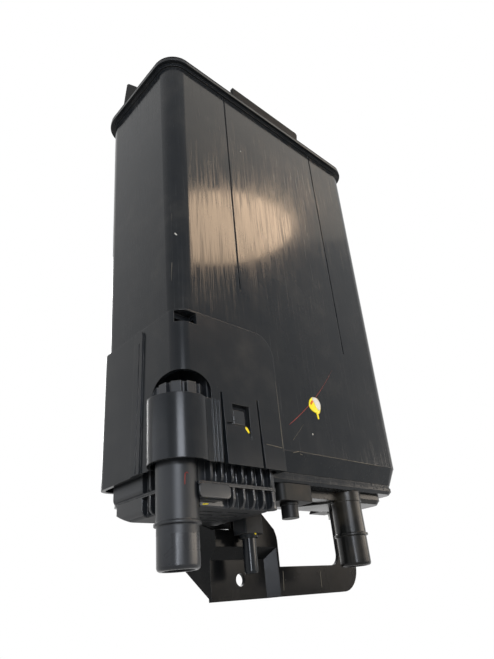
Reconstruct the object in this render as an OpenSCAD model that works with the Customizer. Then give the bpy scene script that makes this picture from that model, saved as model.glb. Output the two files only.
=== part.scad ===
// Charcoal canister of a fuel tank's vapour system, with its plug-in air filter and steel hanger.
// Working axes: x from the left narrow side, y from the front wide side, z up from the lower crease.
// The finished part is moved so that its origin is the hanger's bolt hole. Millimetres.

/* [Body] */
// Width of the body at its rim
body_w = 200; // [185:1:240]
// Depth of the body at its rim
body_d = 86; // [84:1:110]
// Height of the body from its lower crease to the joint with the cover
body_h = 283; // [220:1:340]
// Wall of the body
wall = 2.5; // [2:0.1:3]
// Corner radius of the body at its rim
corner_r = 13; // [12.5:0.5:16]
// Draft of each side in degrees
draft = 0.7; // [0.3:0.1:0.8]
// Height of the slope below the crease
slope_h = 11; // [8:0.5:13]
// How far the slope runs in
slope_in = 5.2; // [3:0.1:5.5]
// Height of the base below the slope
base_h = 6; // [5.5:0.5:8]
// Height of the neck between the slope and the base
neck_h = 2; // [1:0.2:2.4]

/* [Rim] */
// Overhang of the weld flange around the top
rim_out = 4; // [3:0.1:6]
// Thickness of the body's weld flange
flange_t = 2.2; // [2:0.1:4]
// Thickness of the cover
cover_t = 2.2; // [2:0.1:4]
// Length of the rail on the cover's front edge
rail_l = 77; // [50:1:100]
// Height of the rail above the cover
rail_h = 12; // [6:0.5:16]
// Width of the lug on the cover's left edge
lug_w = 18; // [14:0.5:24]
// Height of the lug above the cover
lug_h = 19; // [12:0.5:22]

/* [Front grooves] */
// Distance between the two grooves
groove_gap = 100; // [60:1:120]
// Width of a groove
groove_w = 1.2; // [0.8:0.1:2]
// Depth of a groove
groove_deep = 0.8; // [0.4:0.1:1]

/* [Filter pocket] */
// Width of the pocket's sleeve
pocket_w = 72; // [68:1:84]
// Height of the sleeve's top edge
pocket_top = 70; // [64:1:90]
// How far the sleeve's skirt hangs below the crease
skirt_drop = 13.3; // [11:0.1:15]
// Corner radius of the sleeve
sleeve_r = 8; // [6:0.5:10]
// Outer radius of the vent tube's housing
housing_r = 16; // [15.5:0.5:18]
// Height of the housing's top edge
housing_top = 20; // [12:1:24]
// Height of the arch above the housing's top edge
arch_h = 13.5; // [11:0.5:18]
// Place of the vent tube from the left side
tube_x = 7.5; // [7:0.5:9]
// Place of the vent tube from the front side
tube_y = 14.5; // [13.5:0.5:15.5]
// Place of the snap tongue's middle from the left side
tongue_x = 41; // [38:1:46]
// Width of the snap tongue
tongue_w = 25; // [20:1:30]

/* [Ports] */
// Outer diameter of the vent tube
vent_d = 20.4; // [19:0.1:21]
// Bore of the vent tube
vent_bore = 15.5; // [12:0.5:15.5]
// Outer diameter of the tank port
tank_d = 18.8; // [15:0.1:20]
// Bore of the tank port
tank_bore = 14; // [10:0.5:14]
// Outer diameter of the purge nipple
purge_d = 8; // [6:0.1:10]
// Bore of the purge nipple
purge_bore = 5; // [3:0.1:5]
// Depth of the port ends below the crease
port_end = 61; // [55:0.5:66]
// Depth of the hose stop beads below the crease
bead_drop = 42; // [40:0.5:46]
// Height of a hose stop bead above its tube
bead_out = 1.2; // [0.8:0.1:2]

/* [Filter box] */
// Clearance of the filter box in its pocket
box_gap = 0.5; // [0.3:0.1:0.8]
// Wall of the filter box
box_wall = 1.8; // [1.4:0.1:2.2]
// Depth of the joint between case and lid below the crease
joint_drop = 23; // [21.5:0.5:25]
// Height of the lid
lid_h = 10.5; // [8:0.5:12]
// Distance between ribs on the box
rib_pitch = 7; // [5:0.5:10]
// Thickness of a rib on the box
rib_t = 1.3; // [0.9:0.1:1.8]
// Depth of the cells between the ribs
cell_deep = 5; // [3:0.5:6]

/* [Hanger] */
// Thickness of the hanger's sheet
sheet = 2.5; // [2:0.1:3]
// Diameter of the hanger's bolt hole
bolt_hole_d = 7; // [6.5:0.1:11]
// Depth of the bolt hole below the crease
bolt_drop = 63; // [60:0.5:66]
// Depth of the hanger's lower edge below the crease
hanger_drop = 73.8; // [71:0.2:80]
// Height of the hanger's arm
arm_h = 16.8; // [12:0.2:20]
// How far the bolt pad is pressed back
pad_deep = 6; // [3:0.5:8]
// Diameter of the screws that hold the hanger
screw_d = 5.6; // [4:0.1:6]

/* [Inside] */
// Clearance of the pads and beds in their chambers
bed_gap = 0.3; // [0.1:0.1:0.6]
// Thickness of a felt pad
felt_t = 3; // [2:0.5:6]
// Thickness of a pressure plate
plate_t = 3; // [2:0.5:5]
// Height of the springs under the cover
spring_h = 21; // [16:0.5:30]
// Mean radius of a spring
spring_r = 11; // [8:0.5:12]
// Wire diameter of a spring
wire_d = 1.8; // [1.2:0.1:2.4]

/* [Hidden] */
$fn = 64;

// Round faces pass this far through the flat ones that they blend into
blend = 0.003;
// Cutting tools reach this far past what they cut
over = 1;

// Body
lean = tan(draft);
crease_in = body_h * lean;
foot_in = crease_in + slope_in;
base_in = foot_in - 0.2;
base_cut = 1.8;
// Step under the weld flange
weld_h = 2.5;
weld_out = 1.4;
// Small step where two drafted blocks meet, so that they don't share an edge
edge_step = 0.15;
// Centres of the right corners below the crease
base_c = crease_in + corner_r;
base_z = -slope_h - base_h;
floor_z = base_z + wall;
felt_main_z = 1;
groove_x0 = body_w / 2 - groove_gap / 2 + 1.5;
groove_x1 = groove_x0 + groove_gap;
groove_z0 = pocket_top + 30;
groove_z1 = pocket_top + 10;

// Pocket and its ceiling
sleeve_d = body_d - 4;
ceiling_t = 4;
ceiling_z = pocket_top - ceiling_t;
part_x = pocket_w - wall;
housing_x = tube_x + 1;
housing_y = tube_y - 1;
outlet_x = part_x / 2;
outlet_y = sleeve_d * 0.6;
outlet_r = 8.5;
socket_r = 10;
socket_h = 10;
felt_side_z = pocket_top + 12;
strip_y = 36.5;
strip_w = 8.4;
strip_lean = 3.2;
strip_out = 1.2;
strip_top = pocket_top - 0.5;
housing_wall = 1.8;

// Stack under the cover
plate_z = body_h - spring_h - plate_t;
bed_top = plate_z - felt_t;
partition_top = body_h - 15;

// Filter box
box_x0 = wall + box_gap;
box_y0 = wall + box_gap;
box_x1 = part_x - box_gap;
box_y1 = sleeve_d - wall - box_gap;
box_top = ceiling_z - 4;
plug_z = -8;
core_x0 = box_x0 + cell_deep;
core_y0 = box_y0 + cell_deep + 1;
core_x1 = box_x1 - cell_deep + 0.5;
core_y1 = box_y1 - 9;
lid_y1 = core_y1 - 4;
joint_z = -joint_drop;
lip_t = 0.9;
lid_z = joint_z - lid_h;
// Slope under the lid's back edge
lid_run = 16;
lid_rise = 7;
notch_x = tube_x + vent_d / 2 + 2.5;
notch_y = tube_y + vent_d / 2 + 2.5;
tube_top = housing_top + 8;
ledge_z = plug_z + box_wall;

// Ports and header
header_x1 = body_w - base_in - 8;
header_l = 63;
header_x0 = header_x1 - header_l;
header_y0 = base_in + 5.5;
header_y1 = header_y0 + 0.4 * body_d - 0.4;
header_drop = 6;
header_r = 8.5;
tank_in = 36.8;
tank_x = header_x1 - tank_in;
tank_y = header_y0 + 5.5;
block_x0 = pocket_w + 4;
block_x1 = block_x0 + 28;
block_y0 = base_in + 1;
block_drop = 9.5;
block_d = 18;
block_r = 4;
duct_w = 9;
duct_in = 8;
duct_reach = 16;
cap_x = block_x0 + 13;
cap_y = block_y0 + 7.5;
cap_d = 10;
nipple_d = 7;
purge_x = pocket_w + 8;
purge_y = header_y1 - 4;
purge_block_w = 15;
purge_block_d = 11;
purge_block_h = 23;
purge_tip = 1;

// Hanger
arm_y = header_y1 + 4.5;
pad_y = arm_y + pad_deep;
bolt_x = pocket_w + 12;
pad_x0 = bolt_x - 22.7;
pad_x1 = bolt_x + 20.5;
neck_x0 = pocket_w + 2;
neck_x1 = pad_x1 + pad_deep + 2;
leg_x1 = body_w - base_in - 1;
leg_w = 18;
leg_x0 = leg_x1 - leg_w;
foot_y1 = body_d - base_in - 3.1;
flange_y1 = foot_y1 + 8;
// The joggle is drawn this far past the pad's left edge
pad_side = 20;
foot_screw_y = (arm_y + foot_y1) / 2 + 1;
screw_places = [[neck_x0 + 7, foot_screw_y], [neck_x0 + 18.5, foot_screw_y], [leg_x1 - 4.8, arm_y + 9]];
arm_top = -hanger_drop + arm_h;
pad_top = -bolt_drop + 11;
screw_gap = 0.1;
head_h = 5;
head_rim = 1.4;
boss_r = screw_d / 2 + 2.9;
boss_top = -2;
boss_roof = 2;
screw_end = boss_top - boss_roof - 1;

// Springs under the cover
spring_places_main = [
  for (i = [0, 1], j = [0, 1])
    [pocket_w + (body_w - pocket_w) * (i ? 0.72 : 0.26), body_d * (j ? 0.7 : 0.3)]
];
spring_places_side = [for (j = [0, 1]) [part_x / 2 + 1, body_d * (j ? 0.7 : 0.3)]];

// How far the drafted wall lies inside the rim at height z
function inset(z) = (body_h - z) * lean;

// Moves the finished piece so that the bolt hole is the origin
module placed() {
  translate([-bolt_x, -pad_y, bolt_drop]) children();
}

// Inset of the right corners' centres at height z: their radius stays the same all the way down
function round_in(z) = inset(z) + corner_r;

// Block between corners lo and hi, its sides in0 and in1 inside them at z0 and z1.
// The left corners turn about upright axes, the right ones about axes from right0 to right1 inside the sides.
module drafted_block(lo, hi, z0, z1, in0, in1, left, right0, right1) {
  difference() {
    intersection() {
      along_y(lo.y - over - rim_out, hi.y + over + rim_out)
        polygon([[lo.x + in0, z0], [hi.x - in0, z0], [hi.x - in1, z1], [lo.x + in1, z1]]);
      along_x(lo.x - over - rim_out, hi.x + over + rim_out)
        polygon([[lo.y + in0, z0], [hi.y - in0, z0], [hi.y - in1, z1], [lo.y + in1, z1]]);
    }
    for (back = [0, 1]) {
      translate([lo.x + left, back ? hi.y - left : lo.y + left, z0])
        corner_cut(-1, back ? 1 : -1, z1 - z0, left, 0, in0, in1);
      translate([hi.x - right0, back ? hi.y - right0 : lo.y + right0, z0])
        corner_cut(1, back ? 1 : -1, z1 - z0, right0, right1 - right0, in0, in1);
    }
  }
}

// What is cut off a corner: a square post less a round one, on an axis that moves in by lean_in
module corner_cut(way_x, way_y, tall, centre, lean_in, in0, in1) {
  reach = norm([lean_in, lean_in, tall]);
  r0 = centre - in0;
  r1 = centre + lean_in - in1;
  grow = (r1 - r0) / reach;
  big = 2 * centre;
  rotate(a = atan2(lean_in * sqrt(2), tall), v = [way_y, -way_x, 0])
    difference() {
      translate([way_x > 0 ? 0 : -big, way_y > 0 ? 0 : -big, -over])
        cube([big, big, reach + 2 * over]);
      translate([0, 0, -2 * over])
        cylinder(h = reach + 4 * over, r1 = r0 - 2 * over * grow + blend, r2 = r1 + 2 * over * grow + blend);
    }
}

// Block on the rim's outline
module tapered_box(z0, z1, in0, in1, right0, right1) {
  drafted_block([0, 0], [body_w, body_d], z0, z1, in0, in1, corner_r, right0, right1);
}

// Rectangle from corner a to corner b with its corners rounded
module rounded_rect(a, b, r) {
  difference() {
    translate(a)
      square(b - a);
    for (right = [0, 1], far = [0, 1])
      translate([right ? b.x - r : a.x + r, far ? b.y - r : a.y + r])
        difference() {
          translate([right ? 0 : -2 * r, far ? 0 : -2 * r])
            square(2 * r);
          circle(r + blend);
        }
  }
}

// Upright prism with a rounded outline
module rounded_block(a, b, r, z0, z1) {
  translate([0, 0, z0])
    linear_extrude(z1 - z0)
      rounded_rect(a, b, r);
}

// Box between two opposite corners
module span(a, b) {
  translate(a)
    cube(b - a);
}

// Prism along y from y0 to y1, its outline drawn in x and z
module along_y(y0, y1) {
  translate([0, y1, 0])
    rotate([90, 0, 0])
      linear_extrude(y1 - y0)
        children();
}

// Prism along x from x0 to x1, its outline drawn in y and z
module along_x(x0, x1) {
  translate([x0, 0, 0])
    rotate([90, 0, 90])
      linear_extrude(x1 - x0)
        children();
}

// Slice of the body's cavity between z0 and z1, kept clear of its walls
module cavity_slice(z0, z1, gap) {
  tapered_box(z0, z1, inset(z0) + wall + gap, inset(z1) + wall + gap, round_in(z0), round_in(z1));
}

// Piece of the main chamber, right of the partition
module main_slice(z0, z1, gap) {
  intersection() {
    cavity_slice(z0, z1, gap);
    span([pocket_w + gap, 0, z0 - over], [body_w, body_d, z1 + over]);
  }
}

// Piece of the side chamber, above the filter pocket
module side_slice(z0, z1, gap) {
  intersection() {
    cavity_slice(z0, z1, gap);
    span([0, 0, z0 - over], [part_x - gap, body_d, z1 + over]);
  }
}

// Hose spigot along -z: a drafted root, a thin stop bead and a round-edged end
module spigot(d, root_d, z_top, z_end, z_bead) {
  r = d / 2;
  rotate_extrude()
    polygon([
      [0, z_top], [root_d / 2, z_top], [r + 0.2, z_bead + 1], [r + bead_out, z_bead + 0.6],
      [r + bead_out, z_bead - 0.6], [r, z_bead - 1], [r, z_end + 1.5], [r - 0.4, z_end + 0.5],
      [r - 1.2, z_end], [0, z_end]
    ]);
}

// Shallow groove down the front or the back wall, from z0 up to the weld step
module groove(x, z0, back) {
  z1 = body_h - flange_t - weld_h;
  face = back ? body_d : 0;
  in = back ? -1 : 1;
  along_x(x - groove_w / 2, x + groove_w / 2)
    polygon([
      [face - in * over, z0], [face + in * (inset(z0) + groove_deep), z0],
      [face + in * (inset(z1) + groove_deep), z1], [face - in * over, z1]
    ]);
}

module sleeve_outside() {
  round_r = 14;
  difference() {
    union() {
      rounded_block([0, 0], [pocket_w - sleeve_r, sleeve_d], sleeve_r, -skirt_drop, pocket_top);
      span([2 * sleeve_r, 0, -skirt_drop], [pocket_w, sleeve_d, pocket_top]);
    }
    along_y(-over, sleeve_d + over)
      difference() {
        translate([pocket_w - round_r, pocket_top - round_r])
          square(2 * round_r);
        translate([pocket_w - round_r, pocket_top - round_r])
          circle(round_r + blend);
      }
  }
  translate([housing_x, housing_y, -skirt_drop])
    cylinder(h = skirt_drop + housing_top, r = housing_r);
  left_strip();
  for (i = [0:2])
    translate([tongue_x - tongue_w / 2 - 3 - 2.2 * i, 0, -skirt_drop])
      cylinder(h = skirt_drop + housing_top, r = 0.7);
}

// Raised strip with a groove down the left side of the sleeve
module left_strip() {
  difference() {
    along_x(-strip_out, over)
      union() {
        polygon([
          [strip_y + strip_lean - strip_w / 2, -skirt_drop],
          [strip_y + strip_lean + strip_w / 2, -skirt_drop],
          [strip_y + strip_w / 2, strip_top - strip_w / 2], [strip_y - strip_w / 2, strip_top - strip_w / 2]
        ]);
        translate([strip_y, strip_top - strip_w / 2])
          circle(strip_w / 2 + blend);
      }
    along_x(-2 * strip_out, -strip_out / 2)
      polygon([
        [strip_y + strip_lean - 1.6, -skirt_drop - over], [strip_y + strip_lean - 0.6, -skirt_drop - over],
        [strip_y - 0.6, strip_top - strip_w], [strip_y - 1.6, strip_top - strip_w]
      ]);
  }
}

// Everything that is hollowed out of the sleeve
module pocket_inside() {
  rounded_block(
    [wall, wall], [part_x, sleeve_d - wall], sleeve_r - wall, base_z - over, ceiling_z);
  translate([housing_x, housing_y, base_z - over])
    cylinder(h = housing_top - base_z + 2 * over, r = housing_r - housing_wall);
  arch(0);
  span([1, -over, ceiling_z - 4], [housing_x + 4.5, wall + 4, pocket_top - 1]);
  snap_cuts();
}

// Opening over the vent tube's crown, cut square to the corner and drawn narrower by the gap asked for
module arch(gap) {
  left = 13.7 - gap;
  right = 18.1 - gap;
  top_r = 9;
  translate([housing_x, housing_y, 0])
    rotate([0, 0, -45])
      along_y(-2 * housing_r, 2.5 - gap)
        intersection() {
          rounded_rect([-left, housing_top - arch_h], [right, housing_top + arch_h - gap], top_r);
          translate([-left - over, housing_top - edge_step])
            square([left + right + 2 * over, arch_h + over]);
        }
}

// Two slots and a window that free the snap tongue
module snap_cuts() {
  slot_top = housing_top + 5;
  low = -skirt_drop - over;
  window_w = 12.4;
  window_z = housing_top - 11.4;
  x0 = tongue_x - tongue_w / 2;
  x1 = tongue_x + tongue_w / 2;
  along_y(-2, wall + over) {
    polygon([[x0 - 1.5, slot_top], [x0, slot_top], [x0 + 1, low], [x0 - 2, low]]);
    polygon([[x1, slot_top], [x1 + 1.3, slot_top], [x1 + 2.6, low], [x1 + 0.6, low]]);
    translate([tongue_x - window_w / 2, window_z])
      square([window_w, 11.2]);
  }
  along_x(x0 + 1.6, tongue_x + window_w / 2)
    polygon([[-over, window_z + 0.3], [1.3, window_z + 0.3], [-0.1, window_z - 9], [-over, window_z - 9]]);
}

// Block under the base with the purge nipple
module purge_outside() {
  z_block = base_z - purge_block_h;
  rounded_block(
    [purge_x - purge_block_w / 2, purge_y - purge_block_d / 2],
    [purge_x + purge_block_w / 2, purge_y + purge_block_d / 2], 1.5, z_block, floor_z);
  translate([purge_x, purge_y, 0]) {
    translate([0, 0, z_block - 2])
      cylinder(h = 3, r = min(purge_d / 2 + 1.8, purge_block_d / 2));
    translate([0, 0, -port_end + purge_tip])
      cylinder(h = port_end - purge_tip + z_block, d = purge_d);
    translate([0, 0, -port_end])
      cylinder(h = purge_tip, d1 = purge_d - purge_tip, d2 = purge_d);
  }
}

module canister_body() {
  color("#2d2e30")
    placed()
      difference() {
        union() {
          difference() {
            body_outside();
            body_inside();
          }
          outlet_socket();
          bed_rests();
          screw_bosses();
        }
        screw_holes();
      }
}

// Solid outside of the body with its rim, foot, filter sleeve and purge block
module body_outside() {
  tapered_box(0, body_h, crease_in, 0, round_in(0), round_in(body_h));
  tapered_box(body_h - flange_t, body_h, -rim_out, -rim_out, corner_r, corner_r);
  tapered_box(body_h - flange_t - weld_h, body_h - edge_step, -weld_out, -weld_out, corner_r, corner_r);
  tapered_box(-slope_h, 0, foot_in, crease_in + edge_step, base_c, base_c);
  tapered_box(-slope_h - neck_h, -slope_h, foot_in + 0.4, foot_in + 0.4, base_c, base_c);
  tapered_box(base_z + base_cut, -slope_h - neck_h, base_in, base_in, base_c, base_c);
  tapered_box(base_z, base_z + base_cut, base_in + base_cut, base_in + edge_step, base_c, base_c);
  sleeve_outside();
  purge_outside();
  for (x = [groove_x0, groove_x1])
    groove_dot(x);
}

// Gate mark at the top of a front groove
module groove_dot(x) {
  z = body_h - flange_t - weld_h - 1.6;
  translate([x, inset(z) + over, z])
    rotate([90, 0, 0])
      cylinder(h = over + 0.5, r = 1.3);
}

// All that is hollow in the body: chambers, filter pocket, front grooves, outlet, purge bore and tank passage
module body_inside() {
  difference() {
    cavity_slice(0, body_h + over, 0);
    span([part_x, -over, -over], [pocket_w, body_d + over, partition_top]);
    span([-over, -over, -over], [pocket_w, body_d + over, pocket_top]);
  }
  plenum();
  pocket_inside();
  for (back = [false, true]) {
    groove(groove_x0, groove_z0, back);
    groove(groove_x1, groove_z1, back);
  }
  translate([outlet_x, outlet_y, ceiling_z - over])
    cylinder(h = ceiling_t + 2 * over, r = socket_r);
  translate([purge_x, purge_y, -port_end - over])
    cylinder(h = port_end + over + floor_z + over, d = purge_bore);
  span([header_x0 + 6, header_y0 + 12, base_z - over], [header_x1 - 8, header_y1 - 5, floor_z + over]);
}

// Space under the main bed, down to the floor
module plenum() {
  difference() {
    union() {
      tapered_box(-slope_h, 0, foot_in + wall, crease_in + wall + edge_step, base_c, base_c);
      tapered_box(floor_z, -slope_h, foot_in + wall + 0.4, foot_in + wall + 0.4, base_c, base_c);
    }
    span([-over, -over, base_z - over], [pocket_w, body_d + over, over]);
  }
}

// Short tube over the pocket that the filter's outlet plugs into
module outlet_socket() {
  translate([outlet_x, outlet_y, pocket_top])
    difference() {
      cylinder(h = socket_h, r = socket_r + 2);
      translate([0, 0, -over])
        cylinder(h = socket_h + 2 * over, r = socket_r);
    }
}

// Ribs that carry the lower felt pads
module bed_rests() {
  rest_y0 = foot_in + wall + 2;
  rest_t = 1.8;
  for (x = [pocket_w + 18:18:body_w - foot_in - wall - 6])
    span([x - rest_t / 2, rest_y0, floor_z], [x + rest_t / 2, body_d - rest_y0, felt_main_z]);
  for (y = [12, 24, outlet_y + 20])
    span([crease_in + wall + 3, y, pocket_top], [part_x - 3, y + rest_t, felt_side_z]);
}

// Bosses over the floor for the hanger's screws
module screw_bosses() {
  for (p = screw_places)
    translate([p.x, p.y, floor_z])
      cylinder(h = boss_top - floor_z, r = boss_r);
}

// Blind holes up into the bosses
module screw_holes() {
  for (p = screw_places)
    translate([p.x, p.y, base_z - over])
      cylinder(h = boss_top - boss_roof - base_z + over, d = screw_d + 2 * screw_gap);
}

module end_cover() {
  seam = 0.4;
  rib_h = 5;
  z1 = body_h + cover_t;
  panel = 11;
  color("#262729")
    placed() {
      tapered_box(body_h, z1, -rim_out + seam, -rim_out + seam, corner_r, corner_r);
      tapered_box(z1, z1 + 2, corner_r - 6, corner_r - 6, corner_r, corner_r);
      for (x = [body_w / 6:body_w / 6:body_w - 10])
        span([x - 1, panel, z1], [x + 1, body_d - panel, z1 + rib_h]);
      for (y = [body_d / 3, body_d * 2 / 3])
        span([panel, y - 1, z1], [body_w - panel, y + 1, z1 + rib_h]);
      cover_rail(z1);
      cover_lug(z1);
      for (p = concat(spring_places_main, spring_places_side))
        translate([p.x, p.y, body_h - 6])
          cylinder(h = 6 + over, r1 = spring_r - wire_d / 2 - 1.5, r2 = spring_r - wire_d / 2 - 0.8);
    }
}

// Upright rail along the middle of the front edge
module cover_rail(z1) {
  x0 = body_w / 2 - rail_l / 2;
  x1 = body_w / 2 + rail_l / 2;
  along_y(-1.5, 1.5)
    polygon([
      [x0, z1 - over], [x1 - 2, z1 - over], [x1, z1 + rail_h - 2], [x1 - 1, z1 + rail_h], [x0, z1 + rail_h]
    ]);
}

// Locating lug at the middle of the left edge
module cover_lug(z1) {
  y0 = body_d * 0.57 - lug_w / 2;
  y1 = body_d * 0.57 + lug_w / 2;
  along_x(-3.6, 2.5)
    polygon([
      [y0, z1 - over], [y0, z1 + 3], [y1 - 7, z1 + lug_h - 1.5], [y1 - 4.5, z1 + lug_h], [y1, z1 - over]
    ]);
}

// Outline of the vapour header's main chamber: round about the tank port, a slanted wall behind it
module header_outline(grow) {
  rounded_rect(
    [tank_x - 4 - grow, header_y0 - grow], [header_x1 + grow, header_y1 + grow], header_r + grow);
  header_left(grow);
}

module header_left(grow) {
  translate([tank_x, tank_y])
    circle(tank_d / 2 + 0.6 + grow);
  polygon([
    [tank_x, tank_y], [tank_x - tank_d / 2 - grow, tank_y + 3], [header_x0 - grow, tank_y + 20],
    [header_x0 - grow, header_y1 + grow], [tank_x + header_r, header_y1 + grow]
  ]);
}

module block_outline(grow) {
  rounded_rect([block_x0 - grow, block_y0 - grow], [block_x1 + grow, block_y0 + block_d + grow], block_r + grow);
}

module duct_outline(grow) {
  translate([block_x1 - duct_in - grow, block_y0 + block_d - duct_w - grow])
    square([header_x0 - block_x1 + duct_in + duct_reach + 2 * grow, duct_w + 2 * grow]);
}

module port_header() {
  skin = 2;
  color("#2a2a2b")
    placed()
      difference() {
        union() {
          header_layers();
          translate([0, 0, base_z - block_drop])
            linear_extrude(block_drop)
              block_outline(0);
          translate([0, 0, base_z - header_drop + 1])
            linear_extrude(header_drop - 1)
              duct_outline(0);
          translate([tank_x, tank_y, 0])
            spigot(tank_d, tank_d, base_z - header_drop + over, -port_end, -bead_drop - 1);
          translate([cap_x, cap_y, base_z - block_drop - 6])
            cylinder(h = 7, d = nipple_d);
        }
        translate([0, 0, base_z - header_drop + skin + 1])
          linear_extrude(header_drop)
            union() {
              header_outline(-skin);
              duct_outline(-skin);
            }
        translate([0, 0, base_z - block_drop + skin])
          linear_extrude(block_drop)
            block_outline(-skin);
        translate([tank_x, tank_y, -port_end - over])
          cylinder(h = port_end + base_z, d = tank_bore);
        translate([cap_x, cap_y, base_z - block_drop - 6 - over])
          cylinder(h = 8 + skin, d = nipple_d - 3);
      }
}

// Main chamber of the header, its lower edge cut back on the right
module header_layers() {
  foot = 2.4;
  z0 = base_z - header_drop;
  translate([0, 0, z0 + foot])
    linear_extrude(header_drop - foot)
      header_outline(0);
  translate([0, 0, z0])
    linear_extrude(foot + over)
      header_left(0);
  drafted_block(
    [tank_x - 4, header_y0], [header_x1, header_y1], z0, z0 + foot, 2, edge_step, header_r, header_r, header_r);
}

module blanking_cap() {
  top = base_z - block_drop;
  color("#131314")
    placed()
      translate([cap_x, cap_y, 0])
        difference() {
          union() {
            translate([0, 0, top - 8.6])
              cylinder(h = 8.6, d = cap_d);
            translate([0, 0, top - 1.6])
              cylinder(h = 1.6, d = cap_d + 1);
          }
          translate([0, 0, top - 6.2])
            cylinder(h = 6.2 + over, d = nipple_d + 0.2);
        }
}

// Plan of the filter box above the skirt, notched for the vent tube
module box_plan(shrink) {
  difference() {
    rounded_rect([box_x0 + shrink, box_y0 + shrink], [box_x1 - shrink, box_y1 - shrink], 4 - shrink / 2);
    translate([-over, -over])
      square([notch_x + shrink + over, notch_y + shrink + over]);
  }
}

// Plan of the filter box below the skirt
module core_plan(shrink) {
  rounded_rect([core_x0 + shrink, core_y0 + shrink], [core_x1 - shrink, core_y1 - shrink], 4 - shrink / 2);
}

// Plan of the lid, a little shorter than the case
module lid_plan() {
  rounded_rect([core_x0, core_y0], [core_x1, lid_y1], 4);
}

// Space in the lid, clear of the cut-back edge behind it
module lid_inside() {
  rounded_rect([core_x0 + box_wall, core_y0 + box_wall], [core_x1 - box_wall, lid_y1 - 9], 3);
}

// Stiffening ribs around the filter box, with a plain wall along most of its left side
module box_ribs(z0, z1, x_first, y_first, back) {
  left_cells = 2;
  for (x = [x_first:rib_pitch:core_x1])
    along_x(x - rib_t / 2, x + rib_t / 2)
      union() {
        rib_profile(box_y0 + 1.5, core_y0 + over, z0, z1);
        rib_profile(back + 4, back - over, z0, z1);
      }
  for (y = [y_first:rib_pitch:back])
    along_y(y - rib_t / 2, y + rib_t / 2)
      rib_profile(box_x1 - 1.5, core_x1 - over, z0, z1);
  for (i = [0:left_cells - 1])
    along_y(y_first + i * rib_pitch - rib_t / 2, y_first + i * rib_pitch + rib_t / 2)
      rib_profile(box_x0 + 1.5, core_x0 + over, z0, z1);
  along_y(y_first + left_cells * rib_pitch, back)
    rib_profile(box_x0 + 1.5, core_x0 + over, z0, z1);
}

// Rib section from its edge to the wall behind it, its lower corner rounded off
module rib_profile(edge, root, z0, z1) {
  cut = min(abs(root - edge) - over, z1 - z0 - 2);
  in = edge < root ? cut : -cut;
  difference() {
    polygon([[edge, z1], [root, z1], [root, z0], [edge, z0]]);
    difference() {
      polygon([[edge - in, z0 - over], [edge + in, z0 - over], [edge + in, z0 + cut], [edge - in, z0 + cut]]);
      translate([edge + in, z0 + cut])
        circle(cut + blend);
    }
  }
}

// Lip around the joint of the filter box, open where the vent tube passes
module box_lip(z0, z1) {
  difference() {
    rounded_block([box_x0 + 1.5, box_y0 + 1], [box_x1 - 1, core_y1 + 1.5], 4, z0, z1);
    span([0, 0, z0 - over], [tube_x + 5.5, tube_y, z1 + over]);
  }
}

module filter_case() {
  first_rib = tube_x + vent_d / 2 + 4;
  boss_x = box_x1 - 3.4;
  color("#2e3032")
    placed()
      difference() {
        union() {
          difference() {
            union() {
              translate([0, 0, plug_z])
                linear_extrude(box_top - plug_z)
                  box_plan(0);
              translate([0, 0, joint_z])
                linear_extrude(plug_z - joint_z + over)
                  core_plan(0);
              box_lip(joint_z, joint_z + lip_t);
              box_ribs(joint_z, plug_z + over, first_rib, tube_y + vent_d / 2 + 2, core_y1);
              translate([boss_x, core_y0, joint_z])
                cylinder(h = plug_z - joint_z, r = 3.2);
            }
            translate([0, 0, ledge_z])
              linear_extrude(box_top - box_wall - ledge_z)
                box_plan(box_wall);
            translate([0, 0, joint_z - over])
              linear_extrude(ledge_z - joint_z + 2 * over)
                core_plan(box_wall);
          }
          vent_tube();
          vent_crown();
          snap_hook();
          outlet_spigot();
        }
        translate([tube_x, tube_y, -port_end - over])
          cylinder(h = port_end + over + tube_top - 6, d = vent_bore);
        translate([tube_x, tube_y, joint_z + 4])
          span([0, 0, 0], [vent_d / 2 + 4, vent_d / 2 + 4, 8]);
        translate([outlet_x, outlet_y, box_top - box_wall - over])
          cylinder(h = socket_h + 20, r = outlet_r - box_wall);
      }
}

// Vent tube with its ribbed crown and the web that ties it to the box
module vent_tube() {
  translate([tube_x, tube_y, 0]) {
    spigot(vent_d, vent_d + 0.6, housing_top, -port_end, -bead_drop + 1);
    rotate([0, 0, atan2(notch_y - tube_y, notch_x - tube_x)])
      span(
        [vent_d / 2 - 1, -1.5, plug_z - 2],
        [norm([notch_x - tube_x, notch_y - tube_y]) + 1, 1.5, housing_top - 4]);
  }
}

// Toothed crown of the vent tube, cut to stay clear of the sleeve's walls beside the arch
module vent_crown() {
  teeth = 9;
  crown_r = housing_r - housing_wall - 2;
  low = housing_top - 4;
  intersection() {
    translate([housing_x + 1, housing_y - 1, low]) {
      cylinder(h = tube_top - low, r = crown_r - 2.8);
      cylinder(h = 2, r = crown_r);
      for (i = [0:teeth - 1])
        rotate([0, 0, 225 + i * 360 / teeth])
          span([crown_r - 4, -2.7, 0], [crown_r - 0.3, 2.7, tube_top - low - 0.6]);
    }
    union() {
      span([wall + box_gap, wall + box_gap, low - over], [pocket_w, pocket_w, tube_top + over]);
      arch(box_gap);
      translate([housing_x, housing_y, low - over])
        cylinder(h = housing_top - low + over + 0.5, r = housing_r - housing_wall - 0.4);
    }
  }
}

// Catch that snaps into the tongue's window
module snap_hook() {
  low = housing_top - 10.9;
  along_x(tongue_x - 4.2, tongue_x + 4.2)
    polygon([[box_y0 + 0.5, low], [1.8, low], [1.8, low + 8], [box_y0 + 0.5, low + 9.5]]);
}

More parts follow.
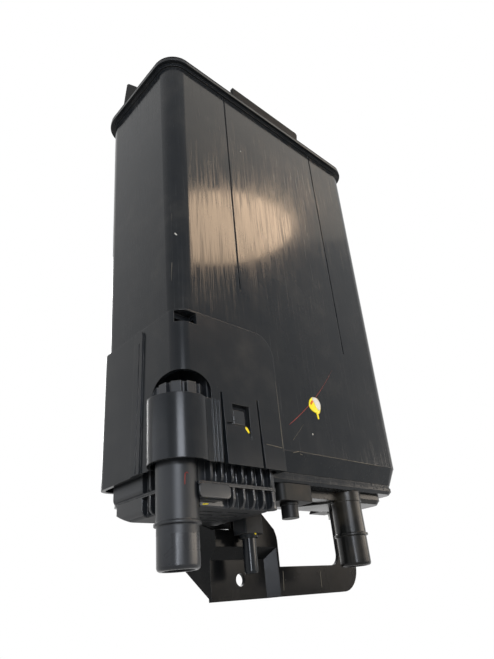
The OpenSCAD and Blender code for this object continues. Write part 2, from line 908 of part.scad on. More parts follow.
// Outlet that plugs into the pocket's ceiling, with a shoulder under its seal
module outlet_spigot() {
  translate([outlet_x, outlet_y, box_top - over]) {
    cylinder(h = pocket_top + socket_h - 2 - box_top + over, r = outlet_r);
    cylinder(h = pocket_top + 1 - box_top + over, r = socket_r - 0.3);
  }
}

module outlet_o_ring() {
  section = socket_r - outlet_r - 0.1;
  color("#101010")
    placed()
      translate([outlet_x, outlet_y, pocket_top + 1 + section / 2 + 0.05])
        rotate_extrude()
          translate([(outlet_r + socket_r) / 2, 0])
            circle(d = section);
}

module filter_lid() {
  first_rib = tube_x + vent_d / 2 + 4;
  tube_gap = 0.4;
  root_r = vent_d / 2 + 0.3;
  pad_x1 = first_rib + 11;
  boss_x = box_x1 - 3.4;
  color("#2b2d2f")
    placed()
      difference() {
        union() {
          difference() {
            union() {
              translate([0, 0, lid_z])
                linear_extrude(lid_h)
                  lid_plan();
              box_lip(joint_z - lip_t, joint_z);
              box_ribs(lid_z, joint_z, first_rib + 2 * rib_pitch, tube_y + vent_d / 2 + 2, lid_y1);
              along_y(box_y0 + 0.5, core_y0 + over)
                rounded_rect([tube_x + 5.5, joint_z - 7], [pad_x1, joint_z], 2.4);
              translate([boss_x, core_y0, lid_z + 0.5])
                cylinder(h = lid_h - 0.5, r = 3.2);
            }
            translate([0, 0, lid_z + box_wall + 0.6])
              linear_extrude(lid_h)
                lid_inside();
          }
          intersection() {
            translate([tube_x, tube_y, lid_z])
              cylinder(h = lid_h, r = root_r + tube_gap + box_wall);
            translate([0, 0, lid_z])
              linear_extrude(lid_h)
                lid_plan();
          }
        }
        along_x(-over, pocket_w)
          polygon([
            [lid_y1 - 11, lid_z], [lid_y1 - 11 + lid_run, lid_z + lid_rise],
            [lid_y1 - 11 + lid_run, lid_z - over], [lid_y1 - 11, lid_z - over]
          ]);
        translate([tube_x, tube_y, lid_z - over])
          cylinder(h = lid_h + 2 * over, r = root_r + tube_gap);
        for (y = [core_y0 + 8:8:lid_y1 - 20], x = [core_x0 + 16, core_x0 + 34])
          span([x, y, lid_z - over], [x + 15, y + 3, lid_z + 1.2]);
      }
}

module filter_element() {
  color("#55565a")
    placed()
      translate([0, 0, ledge_z])
        linear_extrude(box_top - box_wall - 14 - ledge_z)
          box_plan(box_wall + bed_gap);
}

// Outline of the hanger in x and z, from its feet to its lower edge
module hanger_outline() {
  end_r = 17;
  inner_r = 8;
  low = -hanger_drop;
  lid_clear = lid_z - 2.5;
  neck_low = lid_clear - 4;
  neck_w = 22;
  translate([neck_x0, neck_low])
    square([neck_w, base_z - neck_low]);
  translate([pad_x0, low])
    square([neck_x1 - pad_x0 - 3, lid_clear - low]);
  translate([pad_x0, low])
    square([neck_x1 - pad_x0, lid_clear - 6 - low]);
  polygon([
    [neck_x0 + neck_w - 2, base_z], [neck_x0 + neck_w, base_z], [neck_x0 + neck_w + 5, base_z - 9],
    [neck_x1 - 2, lid_clear + over],
    [neck_x1 - 0.4, lid_clear - 3], [neck_x1, lid_clear - 6], [neck_x0 + neck_w - 2, lid_clear - 6]
  ]);
  translate([neck_x1 - 1, low])
    square([leg_x1 - end_r - neck_x1 + 1, arm_h]);
  intersection() {
    translate([leg_x1 - end_r, low + end_r])
      circle(end_r);
    translate([leg_x1 - end_r - over, low - over])
      square(end_r + 2 * over);
  }
  translate([leg_x0, low + end_r])
    square([leg_w, base_z - low - end_r]);
  difference() {
    translate([leg_x0 - inner_r, arm_top - over])
      square(inner_r + over);
    translate([leg_x0 - inner_r, arm_top + inner_r])
      circle(inner_r);
  }
}

// Section of the hanger in y and z: the plate and the foot that is bent back under the base
module hanger_section() {
  bend_r = 1.5;
  difference() {
    rounded_rect([arm_y, -2 * hanger_drop], [foot_y1, base_z], bend_r + sheet);
    rounded_rect([arm_y + sheet, -3 * hanger_drop], [2 * foot_y1, base_z - sheet], bend_r);
  }
}

// Bolt pad pressed back out of the plate, as a solid that is grown by the sheet or not
module pad_form(grow, front) {
  side = pad_deep + 0.5;
  wide = grow * norm([side, pad_deep]) / pad_deep;
  y0 = front;
  y1 = pad_y + grow;
  turn = (y1 - arm_y - grow) / pad_deep;
  lead = (arm_y + grow - y0) / pad_deep;
  intersection() {
    translate([0, 0, -hanger_drop - over])
      linear_extrude(hanger_drop)
        polygon([[pad_x0 - pad_side, y0], [pad_x1 + wide + side * turn + side * lead, y0], [pad_x1 + wide, y1],
          [pad_x0 - pad_side, y1]]);
    along_x(pad_x0 - pad_side, leg_x1)
      polygon([[y0, -hanger_drop - over], [y0, pad_top + wide + side * turn + side * lead],
        [y1, pad_top + wide], [y1, -hanger_drop - over]]);
  }
}

// Flange bent back from the pad's left edge, its top kept under the filter box
module pad_flange() {
  top = lid_z - 2.5;
  along_x(pad_x0, pad_x0 + sheet)
    polygon([
      [arm_y, top], [arm_y, -hanger_drop + 10], [pad_y, -hanger_drop],
      [flange_y1, -hanger_drop + 0.765 * (flange_y1 - pad_y)], [flange_y1, joint_z - 2],
      [lid_y1 + 6, joint_z - 2], [lid_y1 + 6, top + lid_rise / lid_run * 17], [lid_y1 - 11, top]
    ]);
}

// Flange bent back from the neck's left edge
module neck_flange() {
  along_x(neck_x0 - 0.5, neck_x0 - 0.5 + sheet)
    polygon([
      [arm_y + 1, base_z - 3.2], [arm_y + 3.2, base_z - 1], [flange_y1, base_z - 1], [flange_y1, lid_z + 2],
      [arm_y + 1, lid_z - 2]
    ]);
}

module bracket() {
  color("#1d1d1e")
    placed()
      difference() {
        union() {
          intersection() {
            along_x(pad_x0, leg_x1)
              hanger_section();
            along_y(arm_y - over, foot_y1 + over)
              hanger_outline();
          }
          intersection() {
            pad_form(sheet, arm_y);
            along_y(arm_y, pad_y + sheet)
              hanger_outline();
          }
          pad_flange();
          neck_flange();
        }
        pad_form(0, arm_y - over);
        translate([bolt_x, 0, -bolt_drop])
          rotate([-90, 0, 0])
            cylinder(h = foot_y1, d = bolt_hole_d);
        for (p = screw_places)
          translate([p.x, p.y, base_z - sheet - over])
            cylinder(h = sheet + 2 * over, d = screw_d + 0.8);
      }
}

module bracket_screws() {
  head_z = base_z - sheet;
  color("#8b8d90")
    placed()
      for (p = screw_places)
        translate([p.x, p.y, head_z]) {
          translate([0, 0, -head_rim])
            cylinder(h = head_rim, d = screw_d + 3.8);
          translate([0, 0, -head_h])
            cylinder(h = head_h - head_rim + over, d = screw_d + 3, $fn = 6);
          translate([0, 0, -0.5])
            cylinder(h = screw_end - head_z + 0.5, d = screw_d);
        }
}

module carbon_main() {
  color("#0e0e0f")
    placed()
      main_slice(felt_main_z + felt_t, bed_top, bed_gap);
}

module carbon_side() {
  color("#0e0e0f")
    placed()
      side_slice(felt_side_z + felt_t, bed_top, bed_gap);
}

module felt_main(z0) {
  color("#d8d4c8")
    placed()
      main_slice(z0, z0 + felt_t, bed_gap);
}

module felt_side(z0) {
  color("#d8d4c8")
    placed()
      side_slice(z0, z0 + felt_t, bed_gap);
}

// Holes of a pressure plate, on a grid between two corners
module plate_holes(a, b) {
  hole_pitch = 12;
  for (x = [a.x:hole_pitch:b.x], y = [a.y:hole_pitch:b.y])
    translate([x, y, plate_z - over])
      cylinder(h = plate_t + 2 * over, d = 5);
}

module plate_main() {
  color("#3a3b3d")
    placed()
      difference() {
        main_slice(plate_z, plate_z + plate_t, bed_gap);
        plate_holes([pocket_w + 12, 14], [body_w - 14, body_d - 13]);
      }
}

module plate_side() {
  color("#3a3b3d")
    placed()
      difference() {
        side_slice(plate_z, plate_z + plate_t, bed_gap);
        plate_holes([14, 14], [part_x - 8, body_d - 13]);
      }
}

// Coil spring between the plate and the cover, swept as rings of wire along a helix
module spring(p) {
  sides = 6;
  turns = 4.5;
  steps = 72;
  seat = wire_d / 2 + 0.02;
  z0 = plate_z + plate_t + seat;
  rise = spring_h - 2 * seat;
  pitch_angle = atan2(rise, turns * 360 * spring_r * PI / 180);
  rings = [
    for (s = [0:steps])
      let (a = 360 * turns * s / steps, z = z0 + rise * s / steps)
        for (k = [0:sides - 1])
          let (
            w = 360 * k / sides,
            out = spring_r + wire_d / 2 * cos(w),
            side = wire_d / 2 * sin(w))
            [out * cos(a) + side * sin(pitch_angle) * sin(a),
              out * sin(a) - side * sin(pitch_angle) * cos(a),
              z + side * cos(pitch_angle)]
  ];
  bands = [
    for (s = [0:steps - 1], k = [0:sides - 1])
      let (a = s * sides + k, b = s * sides + (k + 1) % sides)
        [a, a + sides, b + sides, b]
  ];
  ends = [[for (k = [0:sides - 1]) k], [for (k = [sides - 1:-1:0]) steps * sides + k]];
  color("#b9babd")
    placed()
      translate([p.x, p.y, 0])
        polyhedron(points = rings, faces = concat(bands, ends));
}

canister_body();
end_cover();
port_header();
filter_case();
filter_lid();
filter_element();
outlet_o_ring();
blanking_cap();
bracket();
bracket_screws();
carbon_main();
carbon_side();
felt_main(felt_main_z);  // felt_main_lower
felt_main(bed_top);  // felt_main_upper
felt_side(felt_side_z);  // felt_side_lower
felt_side(bed_top);  // felt_side_upper
plate_main();
plate_side();
for (i = [1:4])
  spring(spring_places_main[i - 1]);
for (i = [1:2])
  spring(spring_places_side[i - 1]);
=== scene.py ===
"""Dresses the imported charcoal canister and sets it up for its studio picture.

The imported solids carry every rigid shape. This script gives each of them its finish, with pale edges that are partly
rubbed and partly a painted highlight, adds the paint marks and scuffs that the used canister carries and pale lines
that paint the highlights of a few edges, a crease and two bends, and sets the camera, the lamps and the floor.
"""

import logging
import math
from dataclasses import dataclass
from enum import Enum

import bmesh
import bpy
from mathutils import Matrix, Vector


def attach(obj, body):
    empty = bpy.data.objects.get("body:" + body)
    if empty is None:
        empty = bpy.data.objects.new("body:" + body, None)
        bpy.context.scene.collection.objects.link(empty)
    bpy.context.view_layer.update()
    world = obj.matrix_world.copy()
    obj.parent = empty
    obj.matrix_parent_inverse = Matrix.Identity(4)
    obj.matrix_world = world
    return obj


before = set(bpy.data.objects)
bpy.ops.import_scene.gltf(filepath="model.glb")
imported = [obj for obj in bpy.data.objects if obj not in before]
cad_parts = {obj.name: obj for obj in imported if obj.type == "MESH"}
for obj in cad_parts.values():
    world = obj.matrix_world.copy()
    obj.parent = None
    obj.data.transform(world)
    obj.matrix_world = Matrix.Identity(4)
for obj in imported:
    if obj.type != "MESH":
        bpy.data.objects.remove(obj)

LOG = logging.getLogger("canister")
MM = 0.001
ROOT = "root"
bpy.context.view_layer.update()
PURE_WHITE = (1.0, 1.0, 1.0, 1.0)

Inputs = dict[str | int, object]
Points = tuple[tuple[float, float], ...]
Place = tuple[float, float, float]
Tree = bpy.types.NodeTree
Socket = bpy.types.NodeSocket


def linear(colour: str) -> tuple[float, float, float, float]:
    """Turns an sRGB hex colour into the linear colour that shaders take.

    Args:
        colour: Six hex digits with a leading hash.

    Returns:
        Linear red, green and blue, and an alpha of one.
    """
    parts = [int(colour[i : i + 2], 16) / 255 for i in (1, 3, 5)]
    bright = [c / 12.92 if c <= 0.04045 else ((c + 0.055) / 1.055) ** 2.4 for c in parts]
    return bright[0], bright[1], bright[2], 1.0


def per_metre(size_mm: float) -> float:
    """Texture scale at which one feature is size_mm across, in coordinates of metres."""
    return 1 / (size_mm * MM)


def add(tree: Tree, kind: str, inputs: Inputs | None = None, **settings: object) -> bpy.types.Node:
    """Adds one node with its settings, and links or sets its inputs.

    Args:
        tree: Tree that gets the node.
        kind: Blender's name of the node type, without its ShaderNode prefix.
        inputs: Socket name or number to a socket that feeds it, or to a constant.
        settings: Attributes of the node itself.

    Returns:
        The new node.
    """
    node = tree.nodes.new("ShaderNode" + kind)
    for name, value in settings.items():
        setattr(node, name, value)
    for key, value in (inputs or {}).items():
        socket = node.inputs[key]
        if isinstance(value, Socket):
            tree.links.new(value, socket)
        else:
            socket.default_value = value
    return node


class Shape(Enum):
    """How a noise lies on a surface."""

    EVEN = (1.0, 1.0, 1.0)
    DRAWN_UP = (1.0, 1.0, 0.018)


@dataclass(frozen=True)
class Noise:
    """Noise of one size, spread so that low gives 0 and high gives 1.

    Attributes:
        size_mm: Size of one patch.
        detail: Octaves of finer noise in it.
        low: Noise value that becomes 0.
        high: Noise value that becomes 1.
        gain: How much each finer octave counts.
    """

    size_mm: float
    detail: float
    low: float
    high: float
    gain: float = 0.6

    def add_to(self, tree: Tree, place: Socket) -> Socket:
        """Adds the noise to a material.

        Args:
            tree: Material's tree.
            place: Coordinates in metres.

        Returns:
            A socket with values from 0 to 1.
        """
        inputs = {"Vector": place, "Scale": per_metre(self.size_mm), "Detail": self.detail, "Roughness": self.gain}
        noise = add(tree, "TexNoise", inputs)
        spread = {"Value": noise.outputs["Fac"], "From Min": self.low, "From Max": self.high}
        return add(tree, "MapRange", spread).outputs[0]


# Slow drift of colour and gloss, patches of dust in it, and gaps in the pale line along an edge, partly rubbed and
# partly a painted highlight
DRIFT = Noise(55, 4, 0.35, 0.68)
FILM = Noise(16, 6, 0.45, 0.75)
WEAR_AND_HIGHLIGHT_GAPS = Noise(9, 5, 0.4, 0.62)
# Octaves of scratches and grain, and the noise values between which each of them rises
FINE_DETAIL = 3
SCRATCH_RISE = (0.42, 0.72)
GRAIN_RISE = (0.3, 0.7)
# How far scratches lean from upright, in radians
SCRATCH_LEAN = 0.06
# Cosine between the true and the rounded normal at which an edge starts to turn pale, and at which it is fully pale;
# the pale edge is partly rubbed and partly a painted highlight
EDGE_START, EDGE_FULL = 0.995, 0.85
EDGE_SAMPLES = 6
# Distance between specks, and the shares of it at which a speck ends and is full
SPECK_APART_MM = 14
SPECK_END, SPECK_FULL = 0.03, 0.015
# Roughness that full dust adds
DUST_ROUGH = 0.25


@dataclass(frozen=True)
class Finish:
    """A surface as it was made: its colour, gloss, grain, dust and pale edges, partly rubbed and partly a painted
    highlight.

    Attributes:
        name: Material name.
        colour: Colour of the clean surface.
        shade: Second colour that drifts over it.
        dust: Colour of the film of dust.
        dusty: Share of the dust that shows, from 0 to 1.
        rough: Roughness of the clean surface.
        zones: Roughness left of an x and below a z, in millimetres, each laid over the one before.
        swing: How far the roughness drifts up and down.
        metal: Metallic value.
        specular: Specular level, below 0.5 where fine pits swallow part of the gloss.
        grain_mm: Width of the surface grain.
        grain_deep_mm: Depth of the surface grain.
        scratch: Share of the fine drawn scratches that shows as colour.
        scratch_mm: Width of one scratch.
        scratch_rough: How much a scratch adds to the roughness.
        along: How the scratches lie.
        edge_mm: Radius over which an edge catches light.
        worn_and_highlight: Colour of a rubbed edge and of the highlight painted along it.
        edge_wear_and_highlight: Share of the pale line that shows along the edges, partly rubbed and partly a painted
            highlight.
        specks: Share of the small pale specks that shows.
        sheen: Sheen weight, for fibres.
    """

    name: str
    colour: str
    shade: str
    dust: str = "#6d675d"
    dusty: float = 0.1
    rough: float = 0.3
    zones: tuple[tuple[float, float, float], ...] = ()
    swing: float = 0.05
    metal: float = 0.0
    specular: float = 0.16
    grain_mm: float = 1.2
    grain_deep_mm: float = 0.003
    scratch: float = 0.0
    scratch_mm: float = 0.7
    scratch_rough: float = 0.0
    along: Shape = Shape.DRAWN_UP
    edge_mm: float = 0.5
    worn_and_highlight: str = "#6f6c67"
    edge_wear_and_highlight: float = 0.25
    specks: float = 0.0
    sheen: float = 0.0

    def material(self) -> bpy.types.Material:
        """Builds the material.

        Returns:
            A material whose nodes draw the finish in millimetres of the part's own frame.
        """
        made = bpy.data.materials.new(self.name)
        made.use_nodes = True
        tree = made.node_tree
        tree.nodes.clear()
        place = add(tree, "TexCoord").outputs["Object"]
        drift = DRIFT.add_to(tree, place)
        film = FILM.add_to(tree, place)
        lines = self._scratches(tree, place)
        edge_normal = add(tree, "Bevel", {"Radius": self.edge_mm * MM}, samples=EDGE_SAMPLES).outputs[0]
        edges = self._edges(tree, place, edge_normal)
        dusted = add(tree, "Math", {0: drift, 1: film}, operation="MULTIPLY").outputs[0]
        colour = self._colour(tree, place, drift, dusted, lines, edges)
        rough = self._roughness(tree, place, drift, dusted, lines)
        normal = self._normal(tree, place, edge_normal)
        shader = add(
            tree,
            "BsdfPrincipled",
            {"Base Color": colour, "Roughness": rough, "Metallic": self.metal, "Normal": normal},
        )
        shader.inputs["Specular IOR Level"].default_value = self.specular
        shader.inputs["Sheen Weight"].default_value = self.sheen
        add(tree, "OutputMaterial", {"Surface": shader.outputs[0]})
        return made

    def _scratches(self, tree: Tree, place: Socket) -> Socket:
        """Fine drawn lines with gaps between them.

        Args:
            tree: Material's tree.
            place: Coordinates in metres.

        Returns:
            A socket that is 1 on a scratch and 0 beside it.
        """
        stretched = {"Vector": place, "Scale": self.along.value, "Rotation": (0.0, SCRATCH_LEAN, 0.0)}
        drawn = add(tree, "Mapping", stretched).outputs[0]
        return Noise(self.scratch_mm, FINE_DETAIL, *SCRATCH_RISE).add_to(tree, drawn)

    def _edges(self, tree: Tree, place: Socket, edge_normal: Socket) -> Socket:
        """Mask of the pale edges, partly rubbed and partly a painted highlight, broken up where they have gaps.

        Args:
            tree: Material's tree.
            place: Coordinates in metres.
            edge_normal: Normal with the edges rounded.

        Returns:
            A socket that is 1 on a pale edge.
        """
        flat = add(tree, "NewGeometry").outputs["Normal"]
        same = add(tree, "VectorMath", {0: flat, 1: edge_normal}, operation="DOT_PRODUCT").outputs["Value"]
        turned = add(tree, "MapRange", {"Value": same, "From Min": EDGE_START, "From Max": EDGE_FULL}).outputs[0]
        gaps = WEAR_AND_HIGHLIGHT_GAPS.add_to(tree, place)
        return add(tree, "Math", {0: turned, 1: gaps}, operation="MULTIPLY").outputs[0]

    def _colour(
        self, tree: Tree, place: Socket, drift: Socket, dusted: Socket, lines: Socket, edges: Socket
    ) -> Socket:
        """Lays shade, dust, scratches, pale edges and specks over the clean colour; the pale edges are partly rubbed
        and partly a painted highlight.

        Args:
            tree: Material's tree.
            place: Coordinates in metres.
            drift: Slow change over the surface.
            dusted: Where dust lies.
            lines: Where scratches are.
            edges: Where edges are pale, partly rubbed and partly a painted highlight.

        Returns:
            The finished colour.
        """
        dots = add(tree, "TexVoronoi", {"Vector": place, "Scale": per_metre(SPECK_APART_MM)})
        close = {"Value": dots.outputs["Distance"], "From Min": SPECK_END, "From Max": SPECK_FULL}
        near = add(tree, "MapRange", close)
        layers = (
            (drift, 1.0, linear(self.shade)),
            (dusted, self.dusty, linear(self.dust)),
            (lines, self.scratch, linear(self.worn_and_highlight)),
            # Pale edges: partly rubbed, partly a painted highlight along the edge
            (edges, self.edge_wear_and_highlight, linear(self.worn_and_highlight)),
            (near.outputs[0], self.specks, linear(self.dust)),
        )
        colour: object = linear(self.colour)
        for mask, share, over in layers:
            if share > 0:
                part = add(tree, "Math", {0: mask, 1: share}, operation="MULTIPLY").outputs[0]
                mix = add(tree, "Mix", {0: part, 6: colour, 7: over}, data_type="RGBA")
                colour = mix.outputs[2]
        return colour

    def _roughness(self, tree: Tree, place: Socket, drift: Socket, dusted: Socket, lines: Socket) -> Socket:
        """Roughness that drifts over the surface and rises with dust and scratches.

        Args:
            tree: Material's tree.
            place: Coordinates in metres.
            drift: Slow change over the surface.
            dusted: Where dust lies.
            lines: Where scratches are.

        Returns:
            The roughness.
        """
        scratched = {0: lines, 1: self.scratch_rough, 2: self.rough}
        rough = add(tree, "Math", scratched, operation="MULTIPLY_ADD").outputs[0]
        spot = add(tree, "SeparateXYZ", {0: place}).outputs
        for right_mm, top_mm, value in self.zones:
            left = add(tree, "Math", {0: spot["X"], 1: right_mm * MM}, operation="LESS_THAN").outputs[0]
            below = add(tree, "Math", {0: spot["Z"], 1: top_mm * MM}, operation="LESS_THAN").outputs[0]
            inside = add(tree, "Math", {0: left, 1: below}, operation="MULTIPLY").outputs[0]
            rough = add(tree, "Mix", {0: inside, 2: rough, 3: value}).outputs[0]
        slow = add(tree, "MapRange", {"Value": drift, "To Min": -self.swing, "To Max": self.swing}).outputs[0]
        drifting = add(tree, "Math", {0: rough, 1: slow}, operation="ADD").outputs[0]
        dull = {0: dusted, 1: DUST_ROUGH * self.dusty, 2: drifting}
        return add(tree, "Math", dull, operation="MULTIPLY_ADD", use_clamp=True).outputs[0]

    def _normal(self, tree: Tree, place: Socket, edge_normal: Socket) -> Socket:
        """Grain as relief, over edges that catch the light.

        Args:
            tree: Material's tree.
            place: Coordinates in metres.
            edge_normal: Normal with the edges rounded.

        Returns:
            The normal.
        """
        grain = Noise(self.grain_mm, FINE_DETAIL, *GRAIN_RISE).add_to(tree, place)
        relief = {"Height": grain, "Distance": self.grain_deep_mm * MM, "Strength": 1.0, "Normal": edge_normal}
        return add(tree, "Bump", relief).outputs[0]


# Glass-filled nylon, injection moulded: near-black walls off a polished mould mirror the window in fine upright
# streaks, the filter pocket is satin, the purge block is matt and its nipple is polished again
BODY = Finish(
    "moulded_nylon_body", "#131619", "#191b1d", dusty=0.08, rough=0.06,
    zones=((-12.5, 133.0, 0.22), (20.0, 42.0, 0.45), (20.0, 21.0, 0.12)), swing=0.02,
    scratch=0.01, scratch_mm=0.8, scratch_rough=0.26, specular=0.15, edge_wear_and_highlight=0.3, specks=0.12,
)
# The same nylon in the cover: a dull black with few glints
COVER = Finish(
    "moulded_nylon_cover", "#0e0f10", "#121212", dusty=0.08, rough=0.5, specular=0.04, edge_wear_and_highlight=0.35, specks=0.2
)
# The same nylon in the header: half glossy at the tank port, matt to its left, with a thin brown film of dirt
HEADER = Finish(
    "moulded_nylon_header", "#0f1010", "#141413", dust="#756a58", dusty=0.14, rough=0.22, zones=((20.0, 60.0, 0.5),),
    swing=0.05, edge_wear_and_highlight=0.25,
)
# Polypropylene of the filter box: glossy ribs, a satin tube, and a smoother end under the tube's bead
FILTER = Finish(
    "moulded_polypropylene", "#17191c", "#1d1f21", dusty=0.06, rough=0.12,
    zones=((-58.0, 200.0, 0.41), (-58.0, 17.0, 0.3)), swing=0.03, specular=0.3, edge_mm=0.9, edge_wear_and_highlight=0.25, specks=0.15,
)
# The same polypropylene in the lid: glossy ribs that glint, over a matt underside
LID = Finish(
    "moulded_polypropylene_lid", "#17191c", "#1d1f21", dusty=0.08, rough=0.12, zones=((20.0, 30.5, 0.6),),
    swing=0.03, specular=0.35, edge_mm=0.9, edge_wear_and_highlight=0.3, specks=0.15,
)
# Pressed steel with black electrocoat: smooth paint with a thin film of road dust
HANGER = Finish(
    "electrocoated_steel", "#090a0b", "#0d0d0d", dust="#77706a", dusty=0.05, rough=0.24, swing=0.06, specular=0.06,
    grain_mm=0.8, edge_wear_and_highlight=0.3, specks=0.3,
)
# EPDM rubber: soft black with a grey bloom
CAP = Finish("epdm_rubber", "#0d0d0e", "#141414", dusty=0.08, rough=0.4, swing=0.08, edge_wear_and_highlight=0.1)
# Nitrile rubber of the seal: plain black, a little shiny
RING = Finish("nitrile_rubber", "#0f0f10", "#161616", dusty=0.05, rough=0.4, edge_wear_and_highlight=0.05)
# Zinc-plated steel: pale grey metal with a fine drawn grain
SCREW = Finish(
    "zinc_plated_steel", "#a8a9a6", "#8d8e8c", dust="#5b564e", dusty=0.3, rough=0.34, swing=0.08, metal=1.0,
    specular=0.5, scratch=0.1, scratch_rough=0.05, edge_wear_and_highlight=0.2, worn_and_highlight="#c9c9c6",
)
# Drawn spring steel: bright grey wire with fine pale marks
SPRING = Finish(
    "drawn_spring_wire", "#9b9da0", "#808386", dusty=0.05, rough=0.28, metal=1.0, specular=0.5, scratch=0.15,
    scratch_mm=0.4, along=Shape.EVEN, edge_wear_and_highlight=0.1, worn_and_highlight="#c4c6c8",
)
# Pelleted activated carbon: matt black grains of about two millimetres
CARBON = Finish(
    "activated_carbon", "#0b0b0c", "#171717", dust="#2b2b2b", dusty=0.6, rough=0.85, swing=0.1, grain_mm=2.0,
    grain_deep_mm=0.8, edge_wear_and_highlight=0.0,
)
# Needled polyester felt: off-white fibres
FELT = Finish(
    "needled_felt", "#d8d2c4", "#c6bfae", dust="#f0ece2", dusty=0.4, rough=0.9, grain_mm=0.6, grain_deep_mm=0.2,
    edge_wear_and_highlight=0.0, sheen=0.3,
)
# Open-cell foam of the air filter: matt grey with dark pores
FOAM = Finish(
    "open_cell_foam", "#55575a", "#44464a", dust="#303236", dusty=0.6, rough=0.9, grain_mm=1.2, grain_deep_mm=0.5,
    edge_wear_and_highlight=0.0, sheen=0.2,
)
# Polypropylene of the pressure plates: an even, half matt grey
PLATE = Finish("moulded_polypropylene_plate", "#37393b", "#303234", dusty=0.05, rough=0.4, edge_wear_and_highlight=0.1)
# Marking paint, brushed on: a thick yellow, half glossy and a little uneven
YELLOW = Finish("yellow_paint", "#e6d220", "#d2b416", dust="#7a6a20", dusty=0.15, rough=0.35, specular=0.3, edge_wear_and_highlight=0.0)
# Marking paint in a greyish white, duller where dust lies
WHITE = Finish("white_paint", "#cbc8be", "#b4afa2", dust="#8b8574", dusty=0.2, rough=0.4, specular=0.3, edge_wear_and_highlight=0.0)
# Marking paint in a thin, dull red that the black darkens
RED = Finish("red_paint", "#8f3a32", "#6d2b26", dust="#4a2522", dusty=0.3, rough=0.45, specular=0.2, edge_wear_and_highlight=0.0)
# Marking paint in a warm orange, beside the yellow
ORANGE = Finish("orange_paint", "#cf6418", "#b04a14", dust="#7a4020", dusty=0.2, rough=0.4, specular=0.3, edge_wear_and_highlight=0.0)
# A knock or a rub turns the black nylon pale; the same pale colour also paints the highlights along the sleeve's
# edges, the body's crease and the bracket arm's bends
SCUFF_AND_HIGHLIGHT = Finish("scuffed_and_highlit_nylon", "#6b6557", "#4c4942", dust="#2c2b29", dusty=0.5, rough=0.5, edge_wear_and_highlight=0.0)

NODE_FINISHES: dict[str, Finish] = {
    "canister_body": BODY,
    "end_cover": COVER,
    "port_header": HEADER,
    "filter_case": FILTER,
    "filter_lid": LID,
    "filter_element": FOAM,
    "outlet_o_ring": RING,
    "blanking_cap": CAP,
    "bracket": HANGER,
    "bracket_screws": SCREW,
    "carbon": CARBON,
    "felt": FELT,
    "plate": PLATE,
    "spring": SPRING,
}


class Aim(Enum):
    """The level direction across a mark, for a mark seen square from the front or from the near corner."""

    FRONT = (1.0, 0.0, 0.0)
    CORNER = (math.sqrt(0.5), -math.sqrt(0.5), 0.0)


def smooth(points: Points, steps: int, closed: bool) -> list[Vector]:
    """Draws a smooth line through points, as a Catmull-Rom spline.

    Args:
        points: Places across and up, in millimetres.
        steps: Pieces between two of them.
        closed: Whether the line runs back to its start.

    Returns:
        Points of the line, the first and the last of them given ones where it is open.
    """
    known = [Vector(p) for p in points]
    count = len(known)
    spans = count if closed else count - 1
    line = []
    for i in range(spans):
        near = [known[(i + k) % count] if closed else known[min(max(i + k, 0), count - 1)] for k in (-1, 0, 1, 2)]
        for step in range(steps):
            t = step / steps
            bend = (near[3] - near[0] + 3 * (near[1] - near[2])) * t
            slope = 2 * near[0] - 5 * near[1] + 4 * near[2] - near[3]
            line.append(near[1] + 0.5 * t * (near[2] - near[0] + t * (slope + bend)))
    return line if closed else line + [known[-1]]


# Pieces between two given points of an outline and of a stroke
OUTLINE_STEPS, STROKE_STEPS = 5, 6
# Depth of a mark's rim under the surface
SUNK_MM = -0.05
# Sections of a filled outline and of a stroke: a share of its size, and a height that is a share of the crown, or a
# depth in millimetres where it is negative
OUTLINE_SECTION = ((1.0, SUNK_MM), (1.0, 0.2), (0.9, 0.6), (0.7, 0.85), (0.4, 1.0), (0.1, 1.0))
STROKE_SECTION = (
    (-1.0, SUNK_MM), (-1.0, 0.2), (-0.55, 0.85), (0.0, 1.0), (0.55, 0.85), (1.0, 0.2), (1.0, SUNK_MM),
)
# Share of its width that a stroke keeps at its tips, and how late it narrows to them
STROKE_TIP, STROKE_LATE = 0.15, 10
# Distance from which points are cast onto the canister
CAST_FROM_M = 0.5
Ring = list[tuple[Vector, float]]


